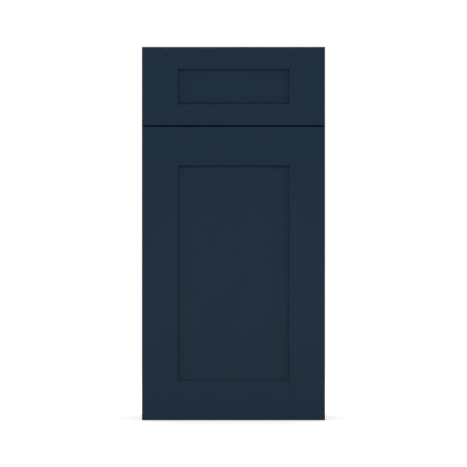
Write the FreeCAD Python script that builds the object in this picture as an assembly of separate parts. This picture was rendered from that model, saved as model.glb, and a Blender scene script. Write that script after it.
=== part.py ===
"""Wall-hung bathroom vanity cabinet: a face-frame carcass with one drawer above one door.

The carcass is a hardwood face frame on plywood sides, with a floor, a back and two hanging rails,
and an open top for a countertop and basin. The drawer is a dovetailed box on telescopic
ball-bearing slides. The door turns on two single-pivot cup hinges whose bases wrap the frame stile.
Both fronts are five-piece frame-and-panel fronts that cover the face frame, with no handles.

Frame: millimetres, +Z up, X across the cabinet, the fronts face -Y and the wall is at +Y.
The origin is the centre of the cabinet's underside. The door is hinged on the -X side.
"""

import FreeCAD
import Part
import math
import os

V = FreeCAD.Vector
X_AXIS, Y_AXIS, Z_AXIS = V(1, 0, 0), V(0, 1, 0), V(0, 0, 1)

OVERRUN = 1.0  # how far a cutting shape runs past what it cuts
NEARLY = 1e-4  # points closer than this are the same place

# ---- Overall sizes ---------------------------------------------------------------------------
cabinet_width = 381.0
cabinet_height = 776.5
cabinet_depth = 533.0  # wall to the face of the fronts

# ---- Fronts ----------------------------------------------------------------------------------
front_thickness = 19.0
front_to_frame = 3.0  # gap that the bumpers keep behind the fronts
side_reveal = 1.5
top_reveal = 2.0
bottom_reveal = 2.0
front_gap = 3.0  # between the drawer front and the door
drawer_front_height = 161.5
front_stile_width = 73.0
drawer_rail_width = 44.0
door_rail_width = 80.0
panel_thickness = 6.0
panel_recess = 9.0  # from the face of the stiles back to the face of the panel
groove_depth = 9.0
groove_clearance = 0.1  # each side of a panel or tongue in its groove
panel_edge_gap = 1.5  # room for the panel to swell, at the bottom of its groove
eased_edge = 1.2
joint_line = 0.3  # tiny bevel that marks where a rail meets a stile

# ---- Face frame and carcass ------------------------------------------------------------------
frame_thickness = 19.0
frame_stile_width = 32.0
frame_rail_width = 38.0
side_thickness = 12.0
floor_thickness = 12.0
back_thickness = 6.0
shelf_thickness = 16.0
rabbet_depth = 6.0
dado_depth = 6.0
hanging_rail_thickness = 18.0
hanging_rail_height = 90.0
wall_hole_radius = 3.0
wall_hole_spacing = 200.0
wall_hole_above_floor = 27.0
dowel_radius = 4.0
dowel_length = 38.0
dowel_spacing = 18.0
dowel_clearance = 0.05
dowel_from_face = 8.5
dowel_end_gap = 0.5
back_play = 0.3  # room for the back panel at each end of its grooves
brace_leg = 85.0
brace_thickness = 12.0
brace_end = 12.0  # width left at the two ends of a brace
brace_hole_radius = 2.5
brace_hole_inset = 28.0

# ---- Shelf -----------------------------------------------------------------------------------
shelf_height = 300.0  # underside of the shelf
shelf_side_gap = 1.0
shelf_back_gap = 4.5
shelf_setback = 10.0  # behind the back of the face frame
shelf_edge_radius = 1.0
pin_radius = 2.45
pin_hole_radius = 2.5
pin_hole_depth = 9.0
pin_end_gap = 1.0
pin_collar = 0.6  # between the side panel and the end of the shelf
pin_shoulder = 1.2
pin_pitch = 32.0
pin_rows_each_way = 3
pin_inset = 60.0  # from the front and back edges of the shelf
pin_tongue = 12.0
pin_tongue_width = 9.0
pin_tongue_thickness = 1.6
pin_rest_gap = 0.1

# ---- Drawer box and slides -------------------------------------------------------------------
drawer_board = 12.0
drawer_bottom_thickness = 6.0
drawer_bottom_up = 12.0
drawer_groove = 6.0
drawer_clearance_below = 6.0
drawer_clearance_above = 6.5
tail_count = 3
tail_share = 0.62  # of the pitch that a tail takes at its wide end
tail_taper = 2.2  # a tail's narrowing on each side, from its end to its root
slide_step = 50.0  # slides are made in steps of this length
slide_setback = 3.0
slide_width = 12.7
slide_half_height = 22.75
slide_sheet = 1.2
outer_ball_radius = 2.4
inner_ball_radius = 2.0
ball_clearance = 0.1
cage_share = 0.38  # of the slide's length
cage_start_share = 0.3
cage_sheet = 0.6
balls_per_row = 5
# Slide sections: u runs from the cabinet side to the drawer, v up from the slide's middle
middle_web_u = (4.35, 5.55)
middle_flange_u = (2.5, 9.6)
middle_flange_v = (14.0, 17.2)
inner_ball_u = 7.8
inner_ball_v = 12.9
drawer_flange_u = 6.75
drawer_flange_v = (9.4, 11.4)
outer_cage_section = (1.5, 15.0, 20.0)  # u, then v from and to
inner_cage_section = (5.85, 10.5, 13.7)
lip_height = 1.0
slide_screw_front = 8.0
slide_screw_middle_share = 0.42
slide_screw_rear = 50.0
drawer_screw_end = 60.0
drawer_screw_start = 30.0
drawer_middle_screw_step = 20.0  # behind the cabinet member's middle screw
cleat_height = 64.0

# ---- Hinges ----------------------------------------------------------------------------------
hinge_end_distance = 90.0  # hinge centre to the end of the door
pivot_from_edge = 6.5
pivot_from_frame = 10.5
hinge_pin_radius = 1.2
bore_radius = 17.5
bore_depth = 12.5
bore_from_edge = 3.0
cup_clearance = 0.2
cup_wall = 1.2
cup_flange = 1.0
cup_screw_spacing = 45.0
cup_screw_offset = 9.5
cup_cheek = 2.2  # thickness of the two lugs in the cup that hold the pin
cup_cheek_half_length = 3.0
cup_hole = (3.3, 1.85)  # radius of an ear's countersunk hole, at its face and at its back
flange_from_edge = 1.5  # from the flange's flat side to the edge of the door
ear_radius = 5.0
flange_overlap = 2.0
knuckle_gap = 0.4
pin_fit = 0.02
knuckle_fit = 0.06
knuckle_radius = 2.3
arm_half_width = 5.5
arm_sheet = 1.8
arm_first_run = 8.0
arm_first_dip = 15.0  # degrees
arm_second_run = 5.8
arm_second_rise = 1.1
base_sheet = 1.5
base_half_height = 20.0
base_depth = 17.0
base_tab = 7.0
base_hole_radius = 2.1
arm_landing = 1.5  # from the end of the tab to where the arm meets it
spring_wire = 0.9
spring_turns = 4
spring_pitch_share = 1.08  # of the wire's thickness
spring_pin_play = 0.15
spring_leg_play = 0.2
spring_space = spring_wire * (spring_turns + 1) + 0.5
base_screw_y_from_face = 10.0
base_screw_offset = 13.0

# ---- Fasteners and bumpers -------------------------------------------------------------------
screw_clearance = 0.05
# Screws as (shank radius, length, head radius, head height, countersunk)
slide_cabinet_screw = (1.9, 16.0, 3.9, 1.6, False)
slide_drawer_screw = (1.9, 12.0, 3.7, 1.5, False)
hinge_base_screw = (1.9, 18.0, 3.8, 1.8, False)
cup_screw = (1.7, 13.0, 3.1, 1.0, True)
drawer_front_screw = (2.0, 26.0, 3.8, 1.8, False)
screw_head_round_share = 0.45  # of the head's height
screw_tip_share = 0.2  # of the shank's radius
recess_width_share = 0.16  # of the head's radius, as is the next one
recess_reach_share = 0.62
recess_depth_share = 0.6  # of the head's height
pilot_end_gap = 0.5
head_seat = 0.1  # clearance round a sunk head
front_screw_margin = 0.5  # screw head to the drawer's side
front_screw_spacing = 44.0
cleat_screw_end = 40.0
cleat_screw_bite = 8.0  # into the side panel
cleat_screw_from_slide = 5.0
bumper_radius = 5.0
bumper_air = 0.3
bumper_inset = 18.0
bumper_from_end = 14.0
bumper_round_share = 0.45  # of its thickness

# ---- Places worked out from the sizes above --------------------------------------------------
half_width = cabinet_width / 2
face_y = -cabinet_depth / 2
wall_y = cabinet_depth / 2
front_back_y = face_y + front_thickness
frame_y = front_back_y + front_to_frame
frame_back_y = frame_y + frame_thickness
side_front_y = frame_back_y - rabbet_depth
rail_y = wall_y - hanging_rail_thickness
back_y = rail_y - back_thickness
side_inner_x = half_width - side_thickness
opening_x = half_width - frame_stile_width
floor_top = frame_rail_width
floor_bottom = floor_top - floor_thickness
dado_x = -side_inner_x - dado_depth
cleat_screw = (1.9, side_inner_x - opening_x + cleat_screw_bite, 3.6, 2.4, True)

front_width = cabinet_width - 2 * side_reveal
front_edge_x = front_width / 2
door_bottom = bottom_reveal
drawer_front_top = cabinet_height - top_reveal
drawer_front_bottom = drawer_front_top - drawer_front_height
door_top = drawer_front_bottom - front_gap
mid_rail_z = (door_top + drawer_front_bottom) / 2 - frame_rail_width / 2
frame_rail_bottoms = {"bottom": 0.0, "mid": mid_rail_z, "top": cabinet_height - frame_rail_width}

slide_y = frame_y + slide_setback
slide_length = slide_step * math.floor((back_y - slide_y) / slide_step)
slide_middle_screw = slide_length * slide_screw_middle_share
cabinet_screw_places = (slide_screw_front, slide_middle_screw, slide_length - slide_screw_rear)
drawer_screw_places = (
    drawer_screw_start,
    slide_middle_screw + drawer_middle_screw_step,
    slide_length - drawer_screw_end,
)
cage_length = slide_length * cage_share
cage_start = slide_length * cage_start_share
outer_ball_u = slide_sheet + outer_ball_radius + ball_clearance
outer_ball_v = slide_half_height - slide_sheet - outer_ball_radius - ball_clearance

drawer_x = opening_x - slide_width
drawer_bottom_z = mid_rail_z + frame_rail_width + drawer_clearance_below
drawer_height = cabinet_height - frame_rail_width - drawer_clearance_above - drawer_bottom_z
drawer_length = slide_length + slide_setback + front_to_frame
drawer_back_y = front_back_y + drawer_length
slide_z = drawer_bottom_z + drawer_height / 2
cleat_bottom = slide_z - cleat_height / 2

pivot_x = -front_edge_x + pivot_from_edge
pivot_y = frame_y - pivot_from_frame
cup_x = -front_edge_x + bore_from_edge + bore_radius
base_screw_y = frame_y + base_screw_y_from_face
pin_half_length = arm_half_width + knuckle_gap + cup_cheek
hinge_heights = {
    "bottom": door_bottom + hinge_end_distance,
    "top": door_top - hinge_end_distance,
}

shelf_x = side_inner_x - shelf_side_gap
shelf_front_y = frame_back_y + shelf_setback
shelf_back_y = back_y - shelf_back_gap
pin_y = (shelf_front_y + pin_inset, shelf_back_y - pin_inset)
pin_z = shelf_height - pin_rest_gap - pin_radius
wall_holes = [
    (sx * wall_hole_spacing / 2, z)
    for sx in (-1, 1)
    for z in (floor_top + wall_hole_above_floor, cabinet_height - hanging_rail_height / 2)
]


# ---- Small building blocks -------------------------------------------------------------------
def box(x0, x1, y0, y1, z0, z1):
    """A box between two corners, given in any order."""
    low = V(min(x0, x1), min(y0, y1), min(z0, z1))
    return Part.makeBox(abs(x1 - x0), abs(y1 - y0), abs(z1 - z0), low)


def rod(start, direction, radius, length):
    """A cylinder from a point along a direction."""
    return Part.makeCylinder(radius, length, start, direction)


def mirrored(shape):
    """The same piece on the other side of the cabinet."""
    return shape.mirror(V(0, 0, 0), X_AXIS)


def on_both_sides(pieces):
    """Left-hand pieces with their twins on the right."""
    return pieces + [mirrored(piece) for piece in pieces]


def left_and_right(name, left):
    """Two nodes: a left-hand piece and its mirror image."""
    return {f"{name}_left": left, f"{name}_right": mirrored(left)}


def fused(shapes):
    """Touching shapes as one clean solid."""
    return shapes[0].multiFuse(shapes[1:]).removeSplitter() if len(shapes) > 1 else shapes[0]


def extruded_polygon(points, direction):
    """A prism on a closed outline of points."""
    return Part.Face(Part.makePolygon(points + points[:1])).extrude(direction)


def edges_at(shape, **planes):
    """Straight edges whose both ends lie at the given x, y or z."""
    found = []
    for edge in shape.Edges:
        ends = [v.Point for v in edge.Vertexes]
        if len(ends) == 2 and all(
            abs(getattr(p, axis) - value) < NEARLY for p in ends for axis, value in planes.items()
        ):
            found.append(edge)
    return found


def eased(shape, radius, *places):
    """A shape with the edges at those places rounded."""
    edges = [e for place in places for e in edges_at(shape, **place)]
    return shape.makeFillet(radius, edges)


def screw(head, direction, size):
    """A wood screw with a cross recess. head is the middle of the head's outer face."""
    shank, length, head_radius, head_height, countersunk = size
    if countersunk:
        top = Part.makeCone(head_radius, shank, head_height)
    else:
        top = Part.makeCylinder(head_radius, head_height)
        top = top.makeFillet(head_height * screw_head_round_share, edges_at_top(top))
    body = Part.makeCylinder(shank, length - head_height - 2 * shank, V(0, 0, head_height))
    point = Part.makeCone(shank, shank * screw_tip_share, 2 * shank, V(0, 0, length - 2 * shank))
    slot, reach = head_radius * recess_width_share, head_radius * recess_reach_share
    depth = head_height * recess_depth_share
    bar = box(-reach, reach, -slot, slot, -OVERRUN, depth)
    cross = bar.fuse(box(-slot, slot, -reach, reach, -OVERRUN, depth))
    made = fused([top, body, point]).cut(cross)
    made.Placement = FreeCAD.Placement(head, FreeCAD.Rotation(Z_AXIS, direction))
    return made


def edges_at_top(cylinder):
    """The round edge of a cylinder where it starts."""
    return [e for e in cylinder.Edges if len(e.Vertexes) == 1 and abs(e.Vertexes[0].Point.z) < NEARLY]


def pilot(head, direction, size):
    """The hole that a screw's shank goes in."""
    return rod(head, direction, size[0] + screw_clearance, size[1] + pilot_end_gap)


def screws(heads, direction, size):
    """A screw at each head."""
    return [screw(head, direction, size) for head in heads]


def pilots(heads, direction, size):
    """A pilot hole under each head."""
    return [pilot(head, direction, size) for head in heads]


# ---- Where the screws go ---------------------------------------------------------------------
def cabinet_slide_heads():
    """Screws that hold the left slide to the cabinet: the front one in the stile, two in the cleat."""
    head_x = -opening_x + slide_sheet + slide_cabinet_screw[3]
    return [V(head_x, slide_y + along, slide_z) for along in cabinet_screw_places]


def drawer_slide_heads():
    """Screws that hold the left slide to the drawer."""
    head_x = -opening_x + slide_width - slide_sheet - slide_drawer_screw[3]
    return [V(head_x, slide_y + along, slide_z) for along in drawer_screw_places]


def cleat_heads():
    """Screws that hold the left cleat to the side panel, above and below the slide."""
    rise = slide_half_height + cleat_screw_from_slide
    middle_y = (frame_back_y + back_y) / 2
    return [
        V(-opening_x, y, slide_z + s * rise)
        for y in (frame_back_y + cleat_screw_end, middle_y, back_y - cleat_screw_end)
        for s in (-1, 1)
    ]


def drawer_front_heads():
    """Screws through the drawer box's front into the stiles of the drawer front."""
    x = drawer_x - drawer_board - drawer_front_screw[2] - front_screw_margin
    y = front_back_y + drawer_board + drawer_front_screw[3]
    return [V(sx * x, y, slide_z + sz * front_screw_spacing / 2) for sx in (-1, 1) for sz in (-1, 1)]


def hinge_base_heads(z):
    """Screws that hold one hinge base to the edge of the stile."""
    x = -opening_x + base_sheet + hinge_base_screw[3]
    return [V(x, base_screw_y, z + s * base_screw_offset) for s in (-1, 1)]


def cup_heads(z):
    """Screws that hold one hinge cup to the door."""
    y = front_back_y + cup_flange
    return [V(cup_x + cup_screw_offset, y, z + s * cup_screw_spacing / 2) for s in (-1, 1)]


def at_hinges(heads):
    """The same screws at both hinges."""
    return [head for z in hinge_heights.values() for head in heads(z)]


# ---- Five-piece fronts -----------------------------------------------------------------------
def framed_front(bottom, top, rail_width):
    """Stiles, rails and panel of one front: grooved frame pieces, tongued rails and a loose panel."""
    inner_x = front_edge_x - front_stile_width
    panel_y = face_y + panel_recess
    groove = [panel_y - groove_clearance, panel_y + panel_thickness + groove_clearance]

    stile = box(-front_edge_x, -inner_x, face_y, front_back_y, bottom, top)
    stile = eased(
        stile, eased_edge,
        {"x": -front_edge_x, "y": face_y}, {"y": face_y, "z": top}, {"y": face_y, "z": bottom},
    )
    inner_edge = edges_at(stile, x=-inner_x, y=face_y)
    stile = stile.makeChamfer(joint_line, inner_edge)
    stile = stile.cut(box(-inner_x - groove_depth, -inner_x + OVERRUN, *groove,
                          bottom - OVERRUN, top + OVERRUN))

    tongue = [panel_y, panel_y + panel_thickness]
    tongue_x = inner_x + groove_depth - groove_clearance
    rails = {}
    for name, low in (("bottom", bottom), ("top", top - rail_width)):
        high = low + rail_width
        outer_z, inner_z = (low, high) if name == "bottom" else (high, low)
        rail = box(-inner_x, inner_x, face_y, front_back_y, low, high)
        rail = eased(rail, eased_edge, {"y": face_y, "z": outer_z})
        rail = rail.makeChamfer(joint_line, edges_at(rail, y=face_y, z=inner_z))
        inward = 1 if name == "bottom" else -1
        groove_z = (inner_z + inward * OVERRUN, inner_z - inward * groove_depth)
        rail = rail.cut(box(-inner_x - OVERRUN, inner_x + OVERRUN, *groove, *groove_z))
        tongue_z = (outer_z, inner_z - inward * groove_depth)
        rails[name] = fused([
            rail,
            box(-tongue_x, -inner_x, *tongue, *tongue_z),
            box(inner_x, tongue_x, *tongue, *tongue_z),
        ])

    bite = groove_depth - panel_edge_gap
    panel = box(
        -inner_x - bite, inner_x + bite, *tongue,
        bottom + rail_width - bite, top - rail_width + bite,
    )
    return {
        "stile_left": stile,
        "stile_right": mirrored(stile),
        "rail_bottom": rails["bottom"],
        "rail_top": rails["top"],
        "panel": panel,
    }


# ---- Hinges ----------------------------------------------------------------------------------
def hinge_cup(z):
    """The pressed cup in the door, with a flange, two ears, a slot for the knuckle and pin holes."""
    mouth = V(cup_x, front_back_y, z)
    outer = bore_radius - cup_clearance
    shell = rod(mouth, -Y_AXIS, outer, bore_depth - cup_clearance)
    flange = rod(mouth, Y_AXIS, bore_radius + flange_overlap, cup_flange)
    ear_x = cup_x + cup_screw_offset
    ear = box(ear_x - ear_radius, ear_x + ear_radius, front_back_y, front_back_y + cup_flange,
              z - cup_screw_spacing / 2, z + cup_screw_spacing / 2)
    ends = [rod(V(ear_x, front_back_y, z + s * cup_screw_spacing / 2), Y_AXIS, ear_radius, cup_flange)
            for s in (-1, 1)]
    solid = fused([shell, flange, ear] + ends)
    reach = cup_screw_spacing
    edge_limit = box(-front_edge_x - reach, -front_edge_x + flange_from_edge, face_y, frame_y,
                     z - reach, z + reach)
    cavity = rod(V(cup_x, front_back_y + cup_flange + OVERRUN, z), -Y_AXIS, outer - cup_wall,
                 bore_depth - cup_clearance + cup_flange + OVERRUN - cup_wall)
    slot = box(-front_edge_x, cup_x, front_back_y - bore_depth + cup_wall + cup_clearance,
               frame_y, z - arm_half_width - knuckle_gap, z + arm_half_width + knuckle_gap)
    pin_hole = rod(V(pivot_x, pivot_y, z - bore_radius), Z_AXIS, hinge_pin_radius + pin_fit, 2 * bore_radius)
    screw_holes = [
        Part.makeCone(*cup_hole, cup_flange + cup_clearance, head, -Y_AXIS) for head in cup_heads(z)
    ]
    cheeks = box(pivot_x - cup_cheek_half_length, pivot_x + cup_cheek_half_length, front_back_y,
                 front_back_y - bore_depth + cup_clearance, z - pin_half_length, z + pin_half_length)
    hollow = solid.cut([edge_limit, cavity]).fuse(cheeks.common(shell))
    return hollow.cut([slot, pin_hole] + screw_holes).removeSplitter()


def thick_line(points, thickness, z0, z1):
    """A strip that follows points in plan, with round joints, between two heights."""
    pieces = []
    for a, b in zip(points, points[1:]):
        along = (b - a).normalize()
        side = V(-along.y, along.x, 0) * (thickness / 2)
        corners = [a + side, b + side, b - side, a - side]
        pieces.append(extruded_polygon([V(p.x, p.y, z0) for p in corners], V(0, 0, z1 - z0)))
    pieces += [rod(V(p.x, p.y, z0), Z_AXIS, thickness / 2, z1 - z0) for p in points[1:-1]]
    return pieces


def hinge_base(z):
    """The fixed half: a plate wrapped round the stile, and an arm that reaches into the cup."""
    low, high = z - arm_half_width, z + arm_half_width
    pivot = V(pivot_x, pivot_y, 0)
    dip = math.radians(-arm_first_dip)
    first = pivot + V(math.cos(dip), math.sin(dip), 0) * arm_first_run
    second = first + V(arm_second_run, arm_second_rise, 0)
    stile_corner = -opening_x
    landing = V(stile_corner - base_tab + arm_landing, frame_y - arm_sheet / 2, 0)
    tab_end = V(stile_corner + base_sheet / 2, frame_y - arm_sheet / 2, 0)
    arm = thick_line([pivot, first, second, landing, tab_end], arm_sheet, low, high)
    knuckle = rod(V(pivot_x, pivot_y, low), Z_AXIS, knuckle_radius, high - low)
    tab = box(stile_corner - base_tab, stile_corner + base_sheet, frame_y - base_sheet, frame_y,
              z - base_half_height, z + base_half_height)
    plate = box(stile_corner, stile_corner + base_sheet, frame_y - base_sheet, frame_y + base_depth,
                z - base_half_height, z + base_half_height)
    solid = fused([knuckle, tab, plate] + arm)
    pin_hole = rod(V(pivot_x, pivot_y, low - OVERRUN), Z_AXIS, hinge_pin_radius + knuckle_fit,
                   high - low + 2 * OVERRUN)
    spring_room = rod(V(pivot_x, pivot_y, z - spring_space / 2), Z_AXIS,
                      knuckle_radius + knuckle_gap, spring_space)
    holes = [rod(head, -X_AXIS, base_hole_radius, hinge_base_screw[3] + base_sheet + OVERRUN)
             for head in hinge_base_heads(z)]
    reach = base_half_height + OVERRUN
    behind_frame = box(-half_width, stile_corner, frame_y, frame_back_y, z - reach, z + reach)
    return solid.cut([pin_hole, spring_room, behind_frame] + holes)


def hinge_spring(z):
    """The coil round the pin that snaps the door shut, with one leg down to the cup's floor."""
    mean = hinge_pin_radius + spring_pin_play + spring_wire / 2
    pitch = spring_wire * spring_pitch_share
    start = V(mean, 0, 0)
    helix = Part.makeHelix(pitch, pitch * spring_turns, mean)
    profile = Part.Wire(Part.makeCircle(spring_wire / 2, start, Y_AXIS))
    coil = Part.Wire(helix).makePipeShell([profile], True, True)
    leg_length = bore_depth - cup_clearance - cup_wall - (front_back_y - pivot_y) - spring_leg_play
    leg = rod(start, -Y_AXIS, spring_wire / 2, leg_length)
    made = coil.fuse([leg, Part.makeSphere(spring_wire / 2, start)])
    made.translate(V(pivot_x, pivot_y, z - pitch * spring_turns / 2))
    return made


# ---- Slides ----------------------------------------------------------------------------------
def slide_bar(u0, u1, v0, v1, start=0.0, length=slide_length):
    """A straight bar of a left slide: u from the cabinet side, v up from the slide's middle."""
    x = -opening_x
    return box(x + u0, x + u1, slide_y + start, slide_y + start + length, slide_z + v0, slide_z + v1)


def slide_rod(u, v, radius):
    """A round bar along a left slide."""
    start = V(-opening_x + u, slide_y - OVERRUN, slide_z + v)
    return rod(start, Y_AXIS, radius, slide_length + 2 * OVERRUN)


def cabinet_member():
    """The outer channel: a web whose rolled edges run round the outer balls."""
    radius = outer_ball_radius + ball_clearance
    web = slide_bar(0, slide_sheet, -outer_ball_v, outer_ball_v)
    pieces = [web]
    for s in (-1, 1):
        v = s * outer_ball_v
        centre = V(-opening_x + outer_ball_u, slide_y, slide_z + v)
        tube = rod(centre, Y_AXIS, radius + slide_sheet, slide_length)
        keep = slide_bar(-OVERRUN, slide_width, v, v + s * slide_half_height)
        lip_u = outer_ball_u + radius
        lip = slide_bar(lip_u, lip_u + slide_sheet, v, v - s * lip_height)
        pieces += [tube.cut(slide_rod(outer_ball_u, v, radius)).common(keep), lip]
    return fused(pieces)


def middle_member():
    """The middle channel, with a groove for each row of balls above and below its flanges."""
    low, high = middle_flange_v
    web = slide_bar(*middle_web_u, -low - slide_sheet, low + slide_sheet)
    flanges = [slide_bar(*middle_flange_u, s * low, s * high) for s in (-1, 1)]
    grooves = [
        slide_rod(u, s * v, radius + ball_clearance)
        for s in (-1, 1)
        for u, v, radius in (
            (outer_ball_u, outer_ball_v, outer_ball_radius),
            (inner_ball_u, inner_ball_v, inner_ball_radius),
        )
    ]
    return fused([web] + flanges).cut(grooves)


def drawer_member():
    """The inner channel that is screwed to the drawer."""
    low, high = drawer_flange_v
    web = slide_bar(slide_width - slide_sheet, slide_width, -high, high)
    flanges = [slide_bar(drawer_flange_u, slide_width, s * low, s * high) for s in (-1, 1)]
    grooves = [
        slide_rod(inner_ball_u, s * inner_ball_v, inner_ball_radius + ball_clearance) for s in (-1, 1)
    ]
    return fused([web] + flanges).cut(grooves)


def ball_row(u, v, radius):
    """The balls of one row, spread along their cage."""
    pitch = cage_length / balls_per_row
    return [
        Part.makeSphere(radius, V(-opening_x + u, slide_y + cage_start + pitch * (k + 0.5), slide_z + v))
        for k in range(balls_per_row)
    ]


def ball_set(u, v, radius, strip):
    """A pair of ball rows, and the two cage strips that space them. strip is (u, v from, v to)."""
    balls, cages = [], []
    for s in (-1, 1):
        balls += ball_row(u, s * v, radius)
        start_u, low, high = strip
        bar = slide_bar(start_u, start_u + cage_sheet, s * low, s * high, cage_start, cage_length)
        cages.append(bar.cut(ball_row(u, s * v, radius + ball_clearance)))
    return balls, cages


# ---- Drawer box ------------------------------------------------------------------------------
def corner_tails(y_end, inward):
    """The dovetails of a drawer side at one end, as prisms across the board's thickness."""
    pitch = drawer_height / tail_count
    wide = pitch * tail_share / 2
    root = y_end + inward * drawer_board
    tails = []
    for k in range(tail_count):
        z = drawer_bottom_z + pitch * (k + 0.5)
        outline = [
            V(-drawer_x, y_end, z - wide), V(-drawer_x, y_end, z + wide),
            V(-drawer_x, root, z + wide - tail_taper), V(-drawer_x, root, z - wide + tail_taper),
        ]
        tails.append(extruded_polygon(outline, V(drawer_board, 0, 0)))
    return tails


def drawer_box():
    """Sides with tails, front and back with matching pins, and a bottom let into grooves."""
    top = drawer_bottom_z + drawer_height
    ends = ((front_back_y, 1), (drawer_back_y, -1))
    bottom_z = drawer_bottom_z + drawer_bottom_up
    inner_x = drawer_x - drawer_board
    inner_y = (front_back_y + drawer_board, drawer_back_y - drawer_board)
    fit = groove_clearance
    bottom = box(-inner_x - drawer_groove, inner_x + drawer_groove, inner_y[0] - drawer_groove,
                 inner_y[1] + drawer_groove, bottom_z, bottom_z + drawer_bottom_thickness)
    groove = box(-inner_x - drawer_groove - fit, inner_x + drawer_groove + fit,
                 inner_y[0] - drawer_groove - fit, inner_y[1] + drawer_groove + fit,
                 bottom_z - fit, bottom_z + drawer_bottom_thickness + fit)

    side = box(-drawer_x, -inner_x, *[y for y, _ in ends], drawer_bottom_z, top)
    boards = {}
    for name, (y, inward) in zip(("front", "back"), ends):
        tails = corner_tails(y, inward)
        corner = box(-drawer_x, -inner_x, y, y + inward * drawer_board, drawer_bottom_z, top)
        side = side.cut(corner.cut(tails))
        board = box(-drawer_x, drawer_x, y, y + inward * drawer_board, drawer_bottom_z, top)
        boards[name] = board.cut(tails + [mirrored(t) for t in tails] + [groove])
    side = side.cut(groove)
    return side, boards, bottom


# ---- Carcass ---------------------------------------------------------------------------------
def frame_dowels():
    """The dowels of the left-hand frame joints, and the holes that they sit in."""
    dowels, holes = [], []
    for low in frame_rail_bottoms.values():
        for s in (-1, 1):
            z = low + frame_rail_width / 2 + s * dowel_spacing / 2
            start = V(-opening_x - dowel_length / 2, frame_y + dowel_from_face, z)
            dowels.append(rod(start, X_AXIS, dowel_radius, dowel_length))
            holes.append(rod(start - X_AXIS * dowel_end_gap, X_AXIS,
                             dowel_radius + dowel_clearance, dowel_length + 2 * dowel_end_gap))
    return dowels, holes


def face_frame():
    """Two rabbeted stiles and three rails, joined by dowels."""
    dowels, holes = frame_dowels()
    stile = box(-half_width, -opening_x, frame_y, frame_back_y, 0, cabinet_height)
    rabbet = box(-half_width - OVERRUN, -side_inner_x, side_front_y, frame_back_y + OVERRUN,
                 -OVERRUN, cabinet_height + OVERRUN)
    stile = stile.cut([rabbet] + holes + pilots(cabinet_slide_heads(), -X_AXIS, slide_cabinet_screw))
    nodes = {
        "face_frame_dowels": on_both_sides(dowels),
        "face_frame_stile_left": stile.cut(pilots(at_hinges(hinge_base_heads), -X_AXIS, hinge_base_screw)),
        "face_frame_stile_right": mirrored(stile),
    }
    for name, low in frame_rail_bottoms.items():
        rail = box(-opening_x, opening_x, frame_y, frame_back_y, low, low + frame_rail_width)
        if name == "bottom":
            rail = rail.cut(box(-opening_x - OVERRUN, opening_x + OVERRUN, side_front_y,
                                frame_back_y + OVERRUN, floor_bottom, floor_top + OVERRUN))
        nodes[f"face_frame_{name}_rail"] = rail.cut(on_both_sides(holes))
    return nodes


def cleat_holes():
    """Countersunk holes for the left cleat's screws."""
    shank, _, head_radius, head_height, _ = cleat_screw
    return pilots(cleat_heads(), -X_AXIS, cleat_screw) + [
        Part.makeCone(head_radius + head_seat, shank + head_seat, head_height + head_seat, head, -X_AXIS)
        for head in cleat_heads()
    ]


def slide_cleats():
    """Cleats that carry the slides flush with the frame opening."""
    cleat = box(-side_inner_x, -opening_x, frame_back_y, back_y, cleat_bottom, cleat_bottom + cleat_height)
    cleat = cleat.cut(cleat_holes() + pilots(cabinet_slide_heads(), -X_AXIS, slide_cabinet_screw))
    nodes = left_and_right("slide_cleat", cleat)
    nodes["cleat_screws"] = on_both_sides(screws(cleat_heads(), -X_AXIS, cleat_screw))
    return nodes


def side_panels():
    """Sides with a dado for the floor, a groove for the back and rows of shelf-pin holes."""
    side = box(-half_width, -side_inner_x, side_front_y, wall_y, 0, cabinet_height)
    dado = box(dado_x, -side_inner_x + OVERRUN, side_front_y - OVERRUN, back_y, floor_bottom, floor_top)
    groove = box(dado_x, -side_inner_x + OVERRUN, back_y, rail_y, -OVERRUN, cabinet_height + OVERRUN)
    pin_holes = [
        rod(V(-side_inner_x + OVERRUN, y, pin_z + row * pin_pitch), -X_AXIS,
            pin_hole_radius, pin_hole_depth + OVERRUN)
        for y in pin_y
        for row in range(-pin_rows_each_way, pin_rows_each_way + 1)
    ]
    return left_and_right("side_panel", side.cut([dado, groove] + pin_holes + cleat_holes()))


def floor_and_back():
    """The floor, the back and the two hanging rails, with the holes for the wall screws."""
    reach = wall_y - back_y + 2 * OVERRUN
    through = [rod(V(x, back_y - OVERRUN, z), Y_AXIS, wall_hole_radius, reach) for x, z in wall_holes]
    back_x = -dado_x - back_play
    nodes = {
        "floor_panel": fused([
            box(dado_x, -dado_x, frame_back_y, back_y, floor_bottom, floor_top),
            box(-opening_x, opening_x, side_front_y, frame_back_y, floor_bottom, floor_top),
        ]),
        "back_panel": box(-back_x, back_x, back_y, rail_y, 0, cabinet_height).cut(through),
    }
    for name, low in (("bottom", 0.0), ("top", cabinet_height - hanging_rail_height)):
        rail = box(-side_inner_x, side_inner_x, rail_y, wall_y, low, low + hanging_rail_height)
        nodes[f"hanging_rail_{name}"] = rail.cut(through)
    return nodes


def corner_braces():
    """A brace in each top corner, with a hole for the countertop's screw."""
    z = cabinet_height - brace_thickness
    braces = []
    for sx in (-1, 1):
        for y, sy in ((frame_back_y, 1), (back_y, -1)):
            x = sx * side_inner_x
            leg_x, leg_y = x - sx * brace_leg, y + sy * brace_leg
            outline = [V(x, y, z), V(leg_x, y, z), V(leg_x, y + sy * brace_end, z),
                       V(x - sx * brace_end, leg_y, z), V(x, leg_y, z)]
            centre = V(x - sx * brace_hole_inset, y + sy * brace_hole_inset, z - OVERRUN)
            hole = rod(centre, Z_AXIS, brace_hole_radius, brace_thickness + 2 * OVERRUN)
            braces.append(extruded_polygon(outline, Z_AXIS * brace_thickness).cut(hole))
    return {"corner_braces": braces}


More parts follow.
